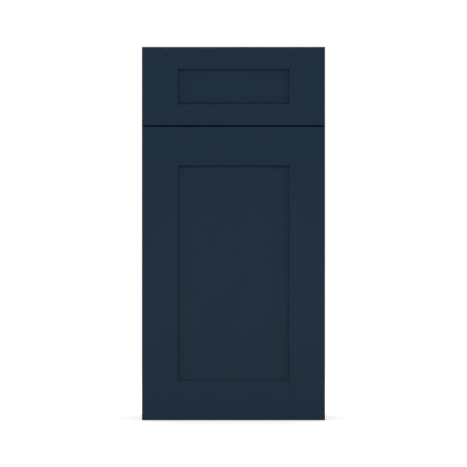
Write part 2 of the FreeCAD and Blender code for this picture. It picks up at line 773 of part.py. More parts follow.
# ---- Shelf -----------------------------------------------------------------------------------
def shelf_pin(y):
    """A pin in the left side panel, with a flat tongue under the shelf."""
    x, top = -side_inner_x, pin_z + pin_radius
    low_y, high_y = y - pin_tongue_width / 2, y + pin_tongue_width / 2
    return fused([
        rod(V(x, y, pin_z), -X_AXIS, pin_radius, pin_hole_depth - pin_end_gap),
        rod(V(x, y, pin_z), X_AXIS, pin_radius, pin_collar),
        box(x, x + pin_tongue, low_y, high_y, top - pin_tongue_thickness, top),
        box(x, x + pin_shoulder, low_y, high_y, pin_z - pin_radius, top),
    ])


def shelf_and_pins():
    """A loose shelf on four pins."""
    top = shelf_height + shelf_thickness
    board = box(-shelf_x, shelf_x, shelf_front_y, shelf_back_y, shelf_height, top)
    front_edges = ({"y": shelf_front_y, "z": shelf_height}, {"y": shelf_front_y, "z": top})
    return {
        "shelf": eased(board, shelf_edge_radius, *front_edges),
        "shelf_pins": on_both_sides([shelf_pin(y) for y in pin_y]),
    }


# ---- Slides and drawer -----------------------------------------------------------------------
def slides():
    """Three members a side, and two ball sets between them, with the screws of both ends."""
    outer_holes = pilots(cabinet_slide_heads(), -X_AXIS, slide_cabinet_screw)
    inner_holes = pilots(drawer_slide_heads(), X_AXIS, slide_drawer_screw)
    nodes = {
        **left_and_right("slide_cabinet_member", cabinet_member().cut(outer_holes)),
        **left_and_right("slide_middle_member", middle_member()),
        **left_and_right("slide_drawer_member", drawer_member().cut(inner_holes)),
        "slide_cabinet_screws": on_both_sides(screws(cabinet_slide_heads(), -X_AXIS, slide_cabinet_screw)),
        "slide_drawer_screws": on_both_sides(screws(drawer_slide_heads(), X_AXIS, slide_drawer_screw)),
    }
    for name, spec in (
        ("outer", (outer_ball_u, outer_ball_v, outer_ball_radius, outer_cage_section)),
        ("inner", (inner_ball_u, inner_ball_v, inner_ball_radius, inner_cage_section)),
    ):
        balls, cages = ball_set(*spec)
        nodes[f"slide_{name}_balls"] = on_both_sides(balls)
        nodes[f"slide_{name}_cages"] = on_both_sides(cages)
    return nodes


def drawer():
    """The dovetailed box, its five-piece front and the screws that join them."""
    side, boards, bottom = drawer_box()
    front_pilots = pilots(drawer_front_heads(), -Y_AXIS, drawer_front_screw)
    nodes = {
        **left_and_right("drawer_side", side.cut(pilots(drawer_slide_heads(), X_AXIS, slide_drawer_screw))),
        "drawer_box_front": boards["front"].cut(front_pilots),
        "drawer_box_back": boards["back"],
        "drawer_bottom": bottom,
        "drawer_front_screws": screws(drawer_front_heads(), -Y_AXIS, drawer_front_screw),
    }
    for name, piece in framed_front(drawer_front_bottom, drawer_front_top, drawer_rail_width).items():
        nodes[f"drawer_front_{name}"] = piece.cut(front_pilots)
    return nodes


# ---- Door ------------------------------------------------------------------------------------
def door():
    """The five-piece door, with its hinge-side stile bored for the cups."""
    pieces = framed_front(door_bottom, door_top, door_rail_width)
    bores = [
        rod(V(cup_x, front_back_y + OVERRUN, z), -Y_AXIS, bore_radius, bore_depth + OVERRUN)
        for z in hinge_heights.values()
    ]
    pieces["stile_left"] = pieces["stile_left"].cut(bores + pilots(at_hinges(cup_heads), -Y_AXIS, cup_screw))
    return {f"door_{name}": piece for name, piece in pieces.items()}


def hinges():
    """Two hinges: a base on the frame, and a cup, a pin and a spring on the door."""
    nodes = {}
    for place, z in hinge_heights.items():
        nodes[f"hinge_base_{place}"] = hinge_base(z)
        nodes[f"hinge_cup_{place}"] = hinge_cup(z)
    nodes["hinge_pins"] = [
        rod(V(pivot_x, pivot_y, z - pin_half_length), Z_AXIS, hinge_pin_radius, 2 * pin_half_length)
        for z in hinge_heights.values()
    ]
    nodes["hinge_springs"] = [hinge_spring(z) for z in hinge_heights.values()]
    nodes["hinge_base_screws"] = screws(at_hinges(hinge_base_heads), -X_AXIS, hinge_base_screw)
    nodes["hinge_cup_screws"] = screws(at_hinges(cup_heads), -Y_AXIS, cup_screw)
    return nodes


def bumper(x, z):
    """A clear pad with a rounded rim, stuck to the back of a front."""
    thickness = front_to_frame - bumper_air
    pad = rod(V(x, front_back_y, z), Y_AXIS, bumper_radius, thickness)
    rim_y = front_back_y + thickness
    rim = [e for e in pad.Edges if len(e.Vertexes) == 1 and abs(e.Vertexes[0].Point.y - rim_y) < NEARLY]
    return pad.makeFillet(thickness * bumper_round_share, rim)


def bumpers():
    """Two bumpers on the door's free side and two low on the drawer front."""
    x = front_edge_x - bumper_inset
    door_ends = (door_bottom + bumper_from_end, door_top - bumper_from_end)
    return {
        "door_bumpers": [bumper(x, z) for z in door_ends],
        "drawer_bumpers": [bumper(sx * x, drawer_front_bottom + bumper_from_end) for sx in (-1, 1)],
    }


# ---- The whole cabinet -----------------------------------------------------------------------
def build():
    """Every node by name: a solid, or a list of separate solids."""
    nodes = {}
    for sub_part in (
        face_frame, side_panels, floor_and_back, corner_braces, slide_cleats,
        shelf_and_pins, slides, drawer, door, hinges, bumpers,
    ):
        nodes.update(sub_part())
    return nodes


def export(nodes):
    """Writes one STEP file for each node."""
    os.makedirs("parts", exist_ok=True)
    for name, shape in nodes.items():
        solids = [s for piece in (shape if isinstance(shape, list) else [shape]) for s in piece.Solids]
        whole = solids[0] if len(solids) == 1 else Part.makeCompound(solids)
        whole.exportStep(f"parts/{name}.step")


export(build())
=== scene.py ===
"""Finishes and studio for a wall-hung bathroom vanity cabinet with one drawer above one door.

The cabinet's pieces come from the packed frame, at their real size. This add-on gives each one
its finish: sprayed navy paint on the fronts, birch plywood inside, a maple drawer box, plated
steel slides and hinges, and clear bumpers. It also sets up the studio round the cabinet.
"""

import math

import bpy
from bpy.props import FloatProperty, FloatVectorProperty, PointerProperty
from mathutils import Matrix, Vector


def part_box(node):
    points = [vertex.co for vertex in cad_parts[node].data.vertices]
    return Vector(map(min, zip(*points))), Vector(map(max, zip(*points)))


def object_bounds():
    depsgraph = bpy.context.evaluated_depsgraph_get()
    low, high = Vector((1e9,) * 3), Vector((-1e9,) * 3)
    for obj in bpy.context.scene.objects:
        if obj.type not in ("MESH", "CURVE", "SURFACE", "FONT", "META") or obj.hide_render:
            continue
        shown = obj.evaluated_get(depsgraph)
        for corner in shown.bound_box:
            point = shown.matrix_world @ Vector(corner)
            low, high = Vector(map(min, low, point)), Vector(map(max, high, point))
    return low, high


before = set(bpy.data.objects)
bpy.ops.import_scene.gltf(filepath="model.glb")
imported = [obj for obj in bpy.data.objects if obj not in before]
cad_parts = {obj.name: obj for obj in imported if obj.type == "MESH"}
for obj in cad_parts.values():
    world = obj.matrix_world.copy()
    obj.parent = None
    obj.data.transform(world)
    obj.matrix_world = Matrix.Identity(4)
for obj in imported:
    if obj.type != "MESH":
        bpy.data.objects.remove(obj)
CAD_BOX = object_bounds()

bl_info = {
    "name": "Vanity Cabinet Finisher",
    "version": (1, 0, 0),
    "blender": (4, 5, 0),
    "location": "3D View > Sidebar > Vanity",
    "description": "Paints, veneers and plates the pieces of a bathroom vanity cabinet",
    "category": "Object",
}

AXES = {"X": 0, "Y": 1, "Z": 2}

DOOR_FRONT = ("door_stile_left", "door_stile_right", "door_rail_top", "door_rail_bottom", "door_panel")
DRAWER_FRONT = (
    "drawer_front_stile_left", "drawer_front_stile_right",
    "drawer_front_rail_top", "drawer_front_rail_bottom", "drawer_front_panel",
)
FACE_FRAME = (
    "face_frame_stile_left", "face_frame_stile_right",
    "face_frame_top_rail", "face_frame_mid_rail", "face_frame_bottom_rail",
)
# Plywood boards, as (piece, axis through the board, axis along the grain)
CARCASS_BOARDS = (
    ("floor_panel", "Z", "X"),
    ("back_panel", "Y", "Z"),
    ("hanging_rail_top", "Y", "X"),
    ("hanging_rail_bottom", "Y", "X"),
    ("corner_braces", "Z", "X"),
    ("slide_cleat_left", "X", "Y"),
    ("slide_cleat_right", "X", "Y"),
)
DRAWER_BOARDS = (
    ("drawer_side_left", "Y"), ("drawer_side_right", "Y"),
    ("drawer_box_front", "X"), ("drawer_box_back", "X"),
)
SLIDE_MEMBERS = (
    "slide_cabinet_member_left", "slide_cabinet_member_right",
    "slide_middle_member_left", "slide_middle_member_right",
    "slide_drawer_member_left", "slide_drawer_member_right",
)
SLIDE_CAGES = ("slide_outer_cages", "slide_inner_cages")
SLIDE_BALLS = ("slide_outer_balls", "slide_inner_balls")
HINGE_PLATES = ("hinge_cup_top", "hinge_cup_bottom", "hinge_base_top", "hinge_base_bottom")
HINGE_STEEL = ("hinge_pins", "hinge_springs")
SCREWS = (
    "slide_cabinet_screws", "slide_drawer_screws", "cleat_screws",
    "drawer_front_screws", "hinge_cup_screws", "hinge_base_screws",
)
BUMPERS = ("door_bumpers", "drawer_bumpers")


# ---- Sizes and colours a user would change ---------------------------------------------------
class VanityPaint(bpy.types.PropertyGroup):
    """The sprayed satin paint."""
    colour: FloatVectorProperty(
        name="Paint colour", description="Colour of the satin paint",
        subtype="COLOR", size=3, min=0, max=1, default=(0.0061, 0.0199, 0.0391))
    mottle: FloatProperty(
        name="Mottling", description="How much the paint's depth of colour varies over a board",
        subtype="FACTOR", min=0, max=1, default=0.10)
    roughness: FloatProperty(
        name="Roughness", description="Roughness of the satin surface",
        subtype="FACTOR", min=0, max=1, default=0.44)
    peel_size: FloatProperty(
        name="Orange peel", description="Width of the ripples that spraying leaves",
        unit="LENGTH", default=0.0022)
    peel_height: FloatProperty(
        name="Peel height", description="Height of those ripples",
        unit="LENGTH", precision=6, default=0.00002)


class VanityTimber(bpy.types.PropertyGroup):
    """The plywood and the solid maple."""
    birch_light: FloatVectorProperty(
        name="Birch, light", description="Pale wood of the plywood's face",
        subtype="COLOR", size=3, min=0, max=1, default=(0.66, 0.49, 0.31))
    birch_dark: FloatVectorProperty(
        name="Birch, dark", description="Figure of the plywood's face",
        subtype="COLOR", size=3, min=0, max=1, default=(0.52, 0.35, 0.19))
    maple_light: FloatVectorProperty(
        name="Maple, light", description="Pale wood of the drawer box",
        subtype="COLOR", size=3, min=0, max=1, default=(0.70, 0.53, 0.34))
    maple_dark: FloatVectorProperty(
        name="Maple, dark", description="Figure and end grain of the drawer box",
        subtype="COLOR", size=3, min=0, max=1, default=(0.50, 0.33, 0.18))
    ply_thickness: FloatProperty(
        name="Veneer layer", description="Thickness of one layer of the plywood",
        unit="LENGTH", default=0.0014)
    figure_width: FloatProperty(
        name="Figure width", description="Width of the wood's figure across the grain",
        unit="LENGTH", default=0.028)
    figure_length: FloatProperty(
        name="Figure length", description="Length of the wood's figure along the grain",
        unit="LENGTH", default=0.35)


class VanityMetal(bpy.types.PropertyGroup):
    """The plated steel."""
    zinc: FloatVectorProperty(
        name="Zinc plate", description="Colour of the slides and screws",
        subtype="COLOR", size=3, min=0, max=1, default=(0.56, 0.58, 0.60))
    nickel: FloatVectorProperty(
        name="Nickel plate", description="Colour of the hinges",
        subtype="COLOR", size=3, min=0, max=1, default=(0.60, 0.57, 0.52))
    brush_width: FloatProperty(
        name="Roll marks", description="Width of the lines that rolling leaves in the sheet",
        unit="LENGTH", precision=5, default=0.0006)


class VanityStage(bpy.types.PropertyGroup):
    """The camera, lamps and floor."""
    lens: FloatProperty(
        name="Lens", description="Focal length of the camera in millimetres", default=600.0)
    sensor: FloatProperty(
        name="Sensor", description="Width of the camera's sensor in millimetres", default=36.0)
    fill: FloatProperty(
        name="Fill", description="Share of the picture's height that the cabinet takes",
        subtype="FACTOR", min=0.1, max=1, default=0.7992)
    floor_size: FloatProperty(
        name="Floor", description="Width of the floor", unit="LENGTH", default=120.0)
    room_light: FloatProperty(
        name="Room light", description="Strength of the light from all round", default=0.36)
    key_power: FloatProperty(
        name="Key lamp", description="Power of the soft lamp above the front", unit="POWER", default=74.0)
    low_power: FloatProperty(
        name="Low lamp", description="Power of the soft lamp low in front", unit="POWER", default=2.7)
    side_power: FloatProperty(
        name="Side lamps", description="Power of each soft lamp at the sides", unit="POWER", default=12.5)
    back_power: FloatProperty(
        name="Back lamp", description="Power of the soft lamp above and behind", unit="POWER", default=72.0)
    floor_lift: FloatProperty(
        name="Floor lift", description="How far the far floor is lifted to white for the eye", default=0.73)
    shadow_lift: FloatProperty(
        name="Shadow lift", description="The same near the cabinet, where its shadow falls", default=0.50)


GROUPS = {
    "vanity_paint": VanityPaint,
    "vanity_timber": VanityTimber,
    "vanity_metal": VanityMetal,
    "vanity_stage": VanityStage,
}


# ---- Patterns of the finishes ----------------------------------------------------------------
# Widths in metres. Two numbers are along the grain and across it, three are along X, Y and Z.
PAINT_CLOUDS = (0.13, 0.13, 0.17)
PAINT_GRAIN = (0.16, 0.0042)  # the board's grain, which shows a little through the paint
PAINT_SMEARS = (0.09, 0.03)
WOOD_STREAKS = (0.12, 0.0028)
WOOD_PORES = (0.007, 0.00045)
END_RINGS = (0.05, 0.05, 0.0035)
END_PORES = (0.0006, 0.0006, 0.0006)
PLY_PORES = (0.0009, 0.0009, 0.0009)
PLY_WAVES = (0.03, 0.03, 0.03)  # over which a layer wanders up and down
ROLL_LENGTH, ROLL_WIDTH = 0.06, 0.0006
METAL_CLOUDS = (0.02, 0.02, 0.02)
SILICONE_HAZE = (0.004, 0.004, 0.004)

# Depth of each surface's relief, in metres
BARE_WOOD_DEPTH = 0.00006
PAINTED_PLY_DEPTH = 0.00003
ROLL_MARK_DEPTH = 0.000015
SILICONE_DEPTH = 0.00003

# Share of each pattern in a sum
GRAIN_IN_COLOUR, CLOUDS_IN_COLOUR, GRAIN_IN_HEIGHT = 0.35, 0.65, 0.5
RINGS_IN_FIGURE, RING_HALF = 7.0, 0.5
RINGS_IN_WOOD, STREAKS_IN_WOOD, PORES_IN_HEIGHT = 0.75, 0.55, 0.6
PORE_RANGE = (-0.25, 0.45)  # what is below 0 is cut off
PORES_IN_END, RINGS_IN_END = 0.5, 0.5
WAVE_IN_LAYER, GLUE_IN_LAYER = 0.3, 0.10

# What a colour is multiplied by for a darker or lighter shade
PORE_SHADE = 0.62
END_SHADE = 0.72
DARK_LAYER_SHADE, LIGHT_LAYER_SHADE, GLUE_SHADE = 0.75, 0.85, 0.38
PLATE_SHADES = (0.86, 1.08)
CAGE_SHADE = 0.8
SPRING_SHADE = 0.7

# Roughness, from the smoothest place to the roughest
PAINT_SPREAD = 0.06  # either way from the paint's own
WOOD_ROUGH = (0.42, 0.58)
END_ROUGH = (0.55, 0.75)
PLY_EDGE_ROUGH = (0.6, 0.8)
SLIDE_ROUGH = (0.24, 0.40)
CAGE_ROUGH = (0.36, 0.52)
BALL_ROUGH = (0.06, 0.14)
HINGE_ROUGH = (0.20, 0.34)
FIXING_ROUGH = (0.22, 0.36)
SILICONE_ROUGH = (0.18, 0.34)

# Gloss of the clear or painted surface
PAINT_GLOSS = 0.10
FRAME_GLOSS = 0.12
WOOD_GLOSS = 0.3

# How squarely a face looks along an axis before it counts
FACING = 0.6
FACING_THROUGH = 0.5


# ---- Building blocks for the finishes --------------------------------------------------------
class Finish:
    """A new material with one principled shader, and short calls for the nodes that feed it."""

    def __init__(self, name, specular=0.5, metallic=0.0):
        self.material = bpy.data.materials.new(name)
        self.material.use_nodes = True
        self.tree = self.material.node_tree
        self.shader = self.tree.nodes["Principled BSDF"]
        self.shader.inputs["Specular IOR Level"].default_value = specular
        self.shader.inputs["Metallic"].default_value = metallic
        self.place = self.add("ShaderNodeTexCoord")

    def add(self, kind, **settings):
        """A new node of a kind, with its settings."""
        node = self.tree.nodes.new(kind)
        for key, value in settings.items():
            setattr(node, key, value)
        return node

    def link(self, source, target):
        """Links an output to a socket."""
        self.tree.links.new(source, target)

    def feed(self, socket, value):
        """Links an output to a socket, or sets the socket to a plain value."""
        if isinstance(value, bpy.types.NodeSocket):
            self.link(value, socket)
        else:
            socket.default_value = value

    def maths(self, operation, *values):
        """One sum on outputs or plain numbers."""
        node = self.add("ShaderNodeMath", operation=operation)
        for socket, value in zip(node.inputs, values):
            self.feed(socket, value)
        return node.outputs[0]

    def blend(self, amount, first, second):
        """first where amount is 0, second where it is 1: colours."""
        node = self.add("ShaderNodeMix", data_type="RGBA")
        self.feed(node.inputs[0], amount)
        for socket, colour in ((node.inputs[6], first), (node.inputs[7], second)):
            self.feed(socket, colour if isinstance(colour, bpy.types.NodeSocket) else (*colour, 1))
        return node.outputs[2]

    def mix(self, amount, first, second):
        """first where amount is 0, second where it is 1: numbers."""
        node = self.add("ShaderNodeMix")
        for socket, value in zip(node.inputs[:1] + node.inputs[2:4], (amount, first, second)):
            self.feed(socket, value)
        return node.outputs[0]

    def between(self, amount, low, high):
        """A number from low to high as amount goes from 0 to 1."""
        node = self.add("ShaderNodeMapRange")
        for socket, value in zip(node.inputs, (amount, 0.0, 1.0, low, high)):
            self.feed(socket, value)
        return node.outputs[0]

    def noise(self, sizes, shift=(0, 0, 0), detail=3.0, rough=0.5, distortion=0.0):
        """Cloudy noise in the piece's own coordinates, with a size along each axis."""
        place = self.add("ShaderNodeMapping")
        self.link(self.place.outputs["Object"], place.inputs["Vector"])
        place.inputs["Scale"].default_value = [1 / size for size in sizes]
        place.inputs["Location"].default_value = shift
        node = self.add("ShaderNodeTexNoise")
        self.link(place.outputs[0], node.inputs["Vector"])
        levels = {"Scale": 1.0, "Detail": detail, "Roughness": rough, "Distortion": distortion}
        for key, value in levels.items():
            node.inputs[key].default_value = value
        return node.outputs["Fac"]

    def along(self, source, axis):
        """One component of the piece's coordinates or normal."""
        node = self.add("ShaderNodeSeparateXYZ")
        self.link(self.place.outputs[source], node.inputs[0])
        return node.outputs[AXES[axis]]

    def facing(self, axis, limit=FACING):
        """1 on faces that look along the axis either way, 0 elsewhere."""
        return self.maths("GREATER_THAN", self.maths("ABSOLUTE", self.along("Normal", axis)), limit)

    def facing_one_way(self, axis, sign):
        """1 on faces that look along the axis the way of the sign, 0 elsewhere."""
        turned = self.maths("MULTIPLY", self.along("Normal", axis), sign)
        return self.maths("GREATER_THAN", turned, FACING)

    def surface(self, layer, depth):
        """Puts a layer's colour, roughness and height on the shader."""
        colour, roughness, height = layer
        self.link(colour, self.shader.inputs["Base Color"])
        self.link(roughness, self.shader.inputs["Roughness"])
        node = self.add("ShaderNodeBump")
        self.link(height, node.inputs["Height"])
        node.inputs["Distance"].default_value = depth
        node.inputs["Strength"].default_value = 1.0
        self.link(node.outputs[0], self.shader.inputs["Normal"])

    def coat(self, *names):
        """Puts this finish on the named pieces."""
        for name in names:
            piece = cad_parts[name]
            for slot in piece.material_slots:
                slot.material = self.material


def titled(words, name):
    """A finish's name, with the name of its piece."""
    return words + ", " + name.replace("_", " ")


def shade(colour, amount):
    """A colour made darker or lighter."""
    return [min(1.0, channel * amount) for channel in colour]


def with_grain(grain, sizes):
    """Sizes for X, Y and Z from one along the grain and one across it."""
    along, across = sizes
    return [along if axis == grain else across for axis in "XYZ"]


def seed_of(name):
    """A shift of the figure that is the same each run and differs from board to board."""
    code = sum((place + 1) * ord(letter) for place, letter in enumerate(name))
    return (code % 17 * 0.37, code % 23 * 0.61, code % 29 * 0.43)


def laid_over(finish, amount, under, over):
    """Two layers of colour, roughness and height made one, split by a mask."""
    numbers = [finish.mix(amount, one, two) for one, two in zip(under[1:], over[1:])]
    return [finish.blend(amount, under[0], over[0])] + numbers


def paint_layer(finish, paint, grain, shift):
    """Colour, roughness and height of the sprayed paint."""
    clouds = finish.noise(PAINT_CLOUDS, shift, detail=2)
    board = finish.noise(with_grain(grain, PAINT_GRAIN), shift, detail=4)
    cloudy = finish.maths("MULTIPLY", clouds, CLOUDS_IN_COLOUR)
    amount = finish.maths("MULTIPLY_ADD", board, GRAIN_IN_COLOUR, cloudy)
    darker, lighter = (shade(paint.colour, 1 + way * paint.mottle) for way in (-1, 1))
    smears = finish.noise(with_grain(grain, PAINT_SMEARS), shift)
    rough = finish.between(smears, paint.roughness - PAINT_SPREAD, paint.roughness + PAINT_SPREAD)
    peel = finish.noise([paint.peel_size] * 3, detail=2, rough=0.4)
    height = finish.maths("MULTIPLY_ADD", board, GRAIN_IN_HEIGHT, peel)
    return finish.blend(amount, darker, lighter), rough, height


def wood_layer(finish, timber, light, dark, grain, shift):
    """Colour, roughness and height of clear-finished wood."""
    figure_sizes = with_grain(grain, (timber.figure_length, timber.figure_width))
    figure = finish.noise(figure_sizes, shift, detail=4, rough=0.55, distortion=1.4)
    streaks = finish.noise(with_grain(grain, WOOD_STREAKS), shift, detail=5, rough=0.65)
    pores = finish.noise(with_grain(grain, WOOD_PORES), shift, detail=2)
    rings = finish.maths("PINGPONG", finish.maths("MULTIPLY", figure, RINGS_IN_FIGURE), RING_HALF)
    streaky = finish.maths("MULTIPLY", streaks, STREAKS_IN_WOOD)
    amount = finish.maths("MULTIPLY_ADD", rings, RINGS_IN_WOOD, streaky)
    specks = finish.maths("MAXIMUM", finish.between(pores, *PORE_RANGE), 0.0)
    colour = finish.blend(specks, finish.blend(amount, light, dark), shade(dark, PORE_SHADE))
    height = finish.maths("MULTIPLY_ADD", pores, PORES_IN_HEIGHT, streaks)
    return colour, finish.between(pores, *WOOD_ROUGH), height


def end_grain(finish, timber, shift):
    """Growth rings and open pores, seen on the cut end of a board."""
    rings = finish.noise(END_RINGS, shift, distortion=0.8)
    pores = finish.noise(END_PORES, shift, detail=2)
    ringed = finish.maths("MULTIPLY", rings, RINGS_IN_END)
    amount = finish.maths("MULTIPLY_ADD", pores, PORES_IN_END, ringed)
    colour = finish.blend(amount, timber.maple_dark, shade(timber.maple_dark, END_SHADE))
    return colour, finish.between(pores, *END_ROUGH), pores


def ply_edge(finish, timber, shift, through, bottom, thickness):
    """The layers on a plywood board's edge: light, dark, and a thin line of glue between."""
    layers = 2 * round(thickness / timber.ply_thickness / 2) + 1
    depth = finish.maths("SUBTRACT", finish.along("Object", through), bottom)
    count = finish.maths("MULTIPLY", depth, layers / thickness)
    wavy = finish.maths("MULTIPLY_ADD", finish.noise(PLY_WAVES, shift), WAVE_IN_LAYER, count)
    odd = finish.maths("MODULO", finish.maths("FLOOR", wavy), 2.0)
    glue = finish.maths("LESS_THAN", finish.maths("FRACT", wavy), GLUE_IN_LAYER)
    pores = finish.noise(PLY_PORES, shift)
    dark = finish.blend(pores, shade(timber.birch_dark, DARK_LAYER_SHADE), timber.birch_dark)
    light = finish.blend(pores, timber.birch_light, shade(timber.birch_light, LIGHT_LAYER_SHADE))
    colour = finish.blend(glue, finish.blend(odd, light, dark), shade(timber.birch_dark, GLUE_SHADE))
    return colour, finish.between(pores, *PLY_EDGE_ROUGH), pores


def painted(name, paint, grain):
    """A sprayed board, painted all over."""
    finish = Finish(titled("Navy paint", name), specular=PAINT_GLOSS)
    finish.surface(paint_layer(finish, paint, grain, seed_of(name)), paint.peel_height)
    finish.coat(name)


def painted_but_back(name, paint, timber, grain):
    """A hardwood frame piece, painted except on its back."""
    finish = Finish(titled("Navy paint and bare back", name), specular=FRAME_GLOSS)
    shift = seed_of(name)
    coat = paint_layer(finish, paint, grain, shift)
    wood = wood_layer(finish, timber, timber.maple_light, timber.maple_dark, grain, shift)
    back = finish.facing_one_way("Y", 1)
    finish.surface(laid_over(finish, back, coat, wood), paint.peel_height * 2)
    finish.coat(name)


def solid_wood(name, timber, grain):
    """A solid maple board with its end grain."""
    finish = Finish(titled("Maple", name), specular=WOOD_GLOSS)
    shift = seed_of(name)
    face = wood_layer(finish, timber, timber.maple_light, timber.maple_dark, grain, shift)
    ends = end_grain(finish, timber, shift)
    finish.surface(laid_over(finish, finish.facing(grain), face, ends), BARE_WOOD_DEPTH)
    finish.coat(name)


def plywood(name, timber, through, grain, paint=None, outside=0):
    """A birch plywood board: veneered faces, layered edges, and paint on its outside if it has any."""
    finish = Finish(titled("Birch ply", name), specular=PAINT_GLOSS if paint else WOOD_GLOSS)
    shift = seed_of(name)
    low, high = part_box(name)
    thickness = (high - low)[AXES[through]]
    face = wood_layer(finish, timber, timber.birch_light, timber.birch_dark, grain, shift)
    edge = ply_edge(finish, timber, shift, through, low[AXES[through]], thickness)
    on_edge = finish.maths("SUBTRACT", 1.0, finish.facing(through, FACING_THROUGH))
    board, depth = laid_over(finish, on_edge, face, edge), BARE_WOOD_DEPTH
    if paint:
        coat = paint_layer(finish, paint, grain, shift)
        out = finish.facing_one_way(through, outside)
        board, depth = laid_over(finish, out, board, coat), PAINTED_PLY_DEPTH
    finish.surface(board, depth)
    finish.coat(name)


def plated(label, colour, names, roll="Y", width=ROLL_WIDTH, rough=SLIDE_ROUGH):
    """Rolled or turned steel under bright plating, with roll marks and a little clouding."""
    finish = Finish(label, metallic=1.0)
    marks = finish.noise(with_grain(roll, (ROLL_LENGTH, width)), detail=4, rough=0.6)
    clouds = finish.noise(METAL_CLOUDS)
    dull, bright = (shade(colour, amount) for amount in PLATE_SHADES)
    plate = (finish.blend(clouds, dull, bright), finish.between(marks, *rough), marks)
    finish.surface(plate, ROLL_MARK_DEPTH)
    finish.coat(*names)


# ---- One operator for each group of pieces ---------------------------------------------------
class VANITY_OT_paint_door(bpy.types.Operator):
    """Paint the door's stiles, rails and panel"""
    bl_idname = "vanity.paint_door"
    bl_label = "Paint the Door"

    def execute(self, context):
        for name in DOOR_FRONT:
            painted(name, context.scene.vanity_paint, "X" if "rail" in name else "Z")
        return {"FINISHED"}


class VANITY_OT_paint_drawer_front(bpy.types.Operator):
    """Paint the drawer front's stiles, rails and panel"""
    bl_idname = "vanity.paint_drawer_front"
    bl_label = "Paint the Drawer Front"

    def execute(self, context):
        for name in DRAWER_FRONT:
            painted(name, context.scene.vanity_paint, "Z" if "stile" in name else "X")
        return {"FINISHED"}


class VANITY_OT_paint_face_frame(bpy.types.Operator):
    """Paint the face frame and leave its back bare"""
    bl_idname = "vanity.paint_face_frame"
    bl_label = "Paint the Face Frame"

    def execute(self, context):
        scene = context.scene
        for name in FACE_FRAME:
            grain = "X" if "rail" in name else "Z"
            painted_but_back(name, scene.vanity_paint, scene.vanity_timber, grain)
        return {"FINISHED"}


class VANITY_OT_finish_side_panels(bpy.types.Operator):
    """Paint the side panels outside and varnish them inside"""
    bl_idname = "vanity.finish_side_panels"
    bl_label = "Finish the Side Panels"

    def execute(self, context):
        scene = context.scene
        for name, outside in (("side_panel_left", -1), ("side_panel_right", 1)):
            plywood(name, scene.vanity_timber, "X", "Z", scene.vanity_paint, outside)
        return {"FINISHED"}


class VANITY_OT_finish_carcass(bpy.types.Operator):
    """Varnish the floor, back, hanging rails, braces and cleats"""
    bl_idname = "vanity.finish_carcass"
    bl_label = "Finish the Carcass"

    def execute(self, context):
        for name, through, grain in CARCASS_BOARDS:
            plywood(name, context.scene.vanity_timber, through, grain)
        return {"FINISHED"}


class VANITY_OT_finish_shelf(bpy.types.Operator):
    """Varnish the shelf"""
    bl_idname = "vanity.finish_shelf"
    bl_label = "Finish the Shelf"

    def execute(self, context):
        plywood("shelf", context.scene.vanity_timber, "Z", "X")
        return {"FINISHED"}


class VANITY_OT_finish_drawer_box(bpy.types.Operator):
    """Varnish the dovetailed drawer box and its bottom"""
    bl_idname = "vanity.finish_drawer_box"
    bl_label = "Finish the Drawer Box"

    def execute(self, context):
        timber = context.scene.vanity_timber
        for name, grain in DRAWER_BOARDS:
            solid_wood(name, timber, grain)
        plywood("drawer_bottom", timber, "Z", "Y")
        return {"FINISHED"}


class VANITY_OT_finish_dowels(bpy.types.Operator):
    """Leave the face frame's dowels bare"""
    bl_idname = "vanity.finish_dowels"
    bl_label = "Finish the Dowels"

    def execute(self, context):
        solid_wood("face_frame_dowels", context.scene.vanity_timber, "X")
        return {"FINISHED"}


class VANITY_OT_plate_slides(bpy.types.Operator):
    """Plate the drawer slides, their cages and their balls"""
    bl_idname = "vanity.plate_slides"
    bl_label = "Plate the Slides"

    def execute(self, context):
        metal = context.scene.vanity_metal
        plated("Zinc plated slide", metal.zinc, SLIDE_MEMBERS, width=metal.brush_width)
        plated("Steel ball cage", shade(metal.zinc, CAGE_SHADE), SLIDE_CAGES, rough=CAGE_ROUGH)
        plated("Polished ball", metal.zinc, SLIDE_BALLS, rough=BALL_ROUGH)
        return {"FINISHED"}


class VANITY_OT_plate_hinges(bpy.types.Operator):
    """Plate the hinge cups, bases, pins and springs"""
    bl_idname = "vanity.plate_hinges"
    bl_label = "Plate the Hinges"

    def execute(self, context):
        metal = context.scene.vanity_metal
        plated("Nickel plated hinge", metal.nickel, HINGE_PLATES, roll="Z", rough=HINGE_ROUGH)
        spring_steel = shade(metal.nickel, SPRING_SHADE)
        plated("Hinge pin and spring steel", spring_steel, HINGE_STEEL, roll="Z")
        return {"FINISHED"}


class VANITY_OT_plate_fixings(bpy.types.Operator):
    """Plate the screws and the shelf pins"""
    bl_idname = "vanity.plate_fixings"
    bl_label = "Plate the Fixings"

    def execute(self, context):
        metal = context.scene.vanity_metal
        fixings = SCREWS + ("shelf_pins",)
        plated("Zinc plated fixing", metal.zinc, fixings, roll="Z", rough=FIXING_ROUGH)
        return {"FINISHED"}


class VANITY_OT_cast_bumpers(bpy.types.Operator):
    """Make the bumpers clear silicone"""
    bl_idname = "vanity.cast_bumpers"
    bl_label = "Cast the Bumpers"

    def execute(self, context):
        finish = Finish("Clear silicone")
        finish.shader.inputs["IOR"].default_value = 1.41
        finish.shader.inputs["Transmission Weight"].default_value = 0.8
        haze = finish.noise(SILICONE_HAZE)
        colour = finish.blend(haze, (0.80, 0.83, 0.84), (0.90, 0.92, 0.93))
        finish.surface((colour, finish.between(haze, *SILICONE_ROUGH), haze), SILICONE_DEPTH)
        finish.coat(*BUMPERS)
        return {"FINISHED"}


